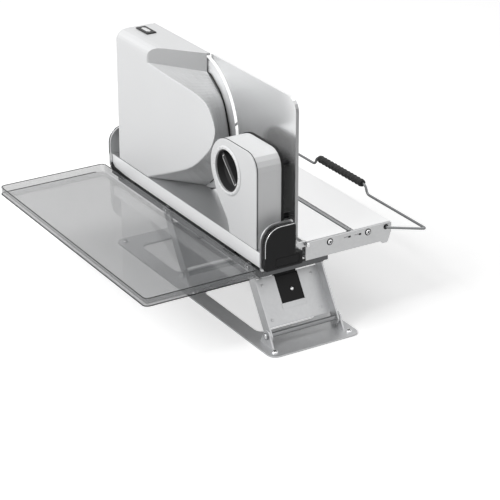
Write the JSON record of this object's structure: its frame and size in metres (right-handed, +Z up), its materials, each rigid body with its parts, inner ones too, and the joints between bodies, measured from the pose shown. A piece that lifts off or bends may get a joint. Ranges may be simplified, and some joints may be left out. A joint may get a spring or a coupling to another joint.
{
  "type": "electric food slicer",
  "caption": "Built-in drawer food slicer on a fold-down parallel lift, with a round blade, adjustable stop plate, carriage table, wire bail and a clear catch tray.",
  "frame": {"origin": "under the middle of the floor frame's front cross strip, below the front lower pivot, on the plane it stands on", "axes": "+X to the right across the blade's plane, +Y away from the front along the carriage's travel, +Z up"},
  "size_m": [0.3714, 0.4306, 0.2785],
  "materials": {
    "brushed_steel": "brushed",
    "zinc_sheet": "zinc plated sheet",
    "satin_aluminium": "satin anodised",
    "silver_casing": "silver satin coat",
    "black_plastic": "satin moulded",
    "dark_dial": "gloss moulded",
    "blade_steel": "polished and ground",
    "rubber": "matt",
    "bronze": "sintered bronze",
    "gear_nylon": "natural nylon",
    "clear_plastic": "clear acrylic"
  },
  "bodies": {
    "floor": {"floor_frame": "zinc_sheet", "front_floor_rod": "brushed_steel", "rear_floor_rod": "brushed_steel"},
    "front_arm": {"front_swing_bracket": "zinc_sheet"},
    "latch": {"lift_latch": "black_plastic"},
    "rear_arm": {"rear_swing_bracket": "zinc_sheet"},
    "platform": {"front_upper_rod": "brushed_steel", "rear_upper_rod": "brushed_steel", "left_carrier_bar": "zinc_sheet", "right_carrier_bar": "zinc_sheet", "front_cross_member": "zinc_sheet", "rear_cross_member": "zinc_sheet", "front_rest_pad": "rubber", "rear_rest_pad": "rubber", "table_plate": "satin_aluminium", "front_rail": "zinc_sheet", "rear_rail": "zinc_sheet", "carriage_guide_rail": "brushed_steel", "front_tip_pin": "brushed_steel", "rear_tip_pin": "brushed_steel"},
    "carriage": {"carriage_plate": "satin_aluminium"},
    "bail": {"bail_wire": "brushed_steel", "bail_grip": "rubber"},
    "slicer": {"base_plate": "brushed_steel", "front_end_plate": "brushed_steel", "rear_end_plate": "brushed_steel", "front_end_cap": "black_plastic", "rear_end_cap": "black_plastic", "switch_spring": "brushed_steel", "front_tray_hook": "black_plastic", "rear_tray_hook": "black_plastic", "motor_housing": "silver_casing", "housing_side_plate": "black_plastic", "top_insert": "black_plastic", "motor_can": "zinc_sheet", "motor_cradle": "black_plastic", "gear_bracket": "zinc_sheet", "axle_bush": "bronze", "knob_box_body": "silver_casing", "knob_box_lid": "silver_casing", "knob_box_back": "black_plastic", "dial_collar": "silver_casing", "cord_gland": "black_plastic"},
    "blade_set": {"blade": "blade_steel", "blade_axle": "brushed_steel", "worm_wheel": "gear_nylon", "blade_hub": "brushed_steel"},
    "rotor": {"worm_shaft": "brushed_steel"},
    "stop": {"stop_plate": "brushed_steel", "adjuster_sleeve": "brushed_steel", "lower_guide_rod": "brushed_steel", "upper_guide_rod": "brushed_steel"},
    "dial": {"thickness_knob": "dark_dial", "knob_spindle": "brushed_steel"},
    "switch": {"switch_button": "black_plastic"},
    "tray": {"catch_tray": "clear_plastic"}
  },
  "joints": [
    {"name": "lift", "type": "hinge", "parent": "floor", "child": "front_arm", "pos_m": [0, 0, 0.013], "axis": [-1, 0, 0], "range_deg": [0, 52]},
    {"name": "rear_arm_swing", "type": "hinge", "parent": "floor", "child": "rear_arm", "pos_m": [0, 0.19, 0.013], "axis": [-1, 0, 0], "range_deg": [0, 52]},
    {"name": "platform_level", "type": "hinge", "parent": "front_arm", "child": "platform", "pos_m": [0, 0.04358, 0.0801], "axis": [-1, 0, 0], "range_deg": [-52, 0]},
    {"name": "latch_press", "type": "slide", "parent": "front_arm", "child": "latch", "axis": [0, -0.5446, -0.8387], "range_m": [0, 0.004], "stiffness_N_per_m": 400, "springref_m": -0.001},
    {"name": "body_tip", "type": "hinge", "parent": "platform", "child": "slicer", "pos_m": [0.0115, 0.194, 0.108], "axis": [0, 1, 0], "range_deg": [0, 85]},
    {"name": "carriage_slide", "type": "slide", "parent": "platform", "child": "carriage", "axis": [0, 1, 0], "range_m": [0, 0.155]},
    {"name": "bail_swing", "type": "hinge", "parent": "platform", "child": "bail", "pos_m": [0.1234, 0.194, 0.1027], "axis": [0, 1, 0], "range_deg": [0, 80]},
    {"name": "blade_spin", "type": "hinge", "parent": "slicer", "child": "blade_set", "pos_m": [0.005, 0.24, 0.188], "axis": [1, 0, 0], "continuous": true},
    {"name": "motor_spin", "type": "hinge", "parent": "slicer", "child": "rotor", "pos_m": [-0.0215, 0.262, 0.21], "axis": [0, 1, 0], "continuous": true},
    {"name": "stop_plate_slide", "type": "slide", "parent": "slicer", "child": "stop", "axis": [-1, 0, 0], "range_m": [0, 0.014]},
    {"name": "dial_turn", "type": "hinge", "parent": "slicer", "child": "dial", "pos_m": [-0.046, 0.0895, 0.183], "axis": [1, 0, 0], "range_deg": [0, 270]},
    {"name": "switch_press", "type": "slide", "parent": "slicer", "child": "switch", "axis": [0, 1, 0], "range_m": [0, 0.002], "stiffness_N_per_m": 300, "springref_m": -0.001},
    {"name": "tray_slide", "type": "slide", "parent": "slicer", "child": "tray", "axis": [-1, 0, 0], "range_m": [0, 0.06]}
  ],
  "couplings": [
    {"joint": "rear_arm_swing", "follows": "lift", "ratio": 1},
    {"joint": "platform_level", "follows": "lift", "ratio": -1},
    {"joint": "motor_spin", "follows": "blade_spin", "ratio": 34},
    {"joint": "dial_turn", "follows": "stop_plate_slide", "rad_per_m": 336.5}
  ]
}
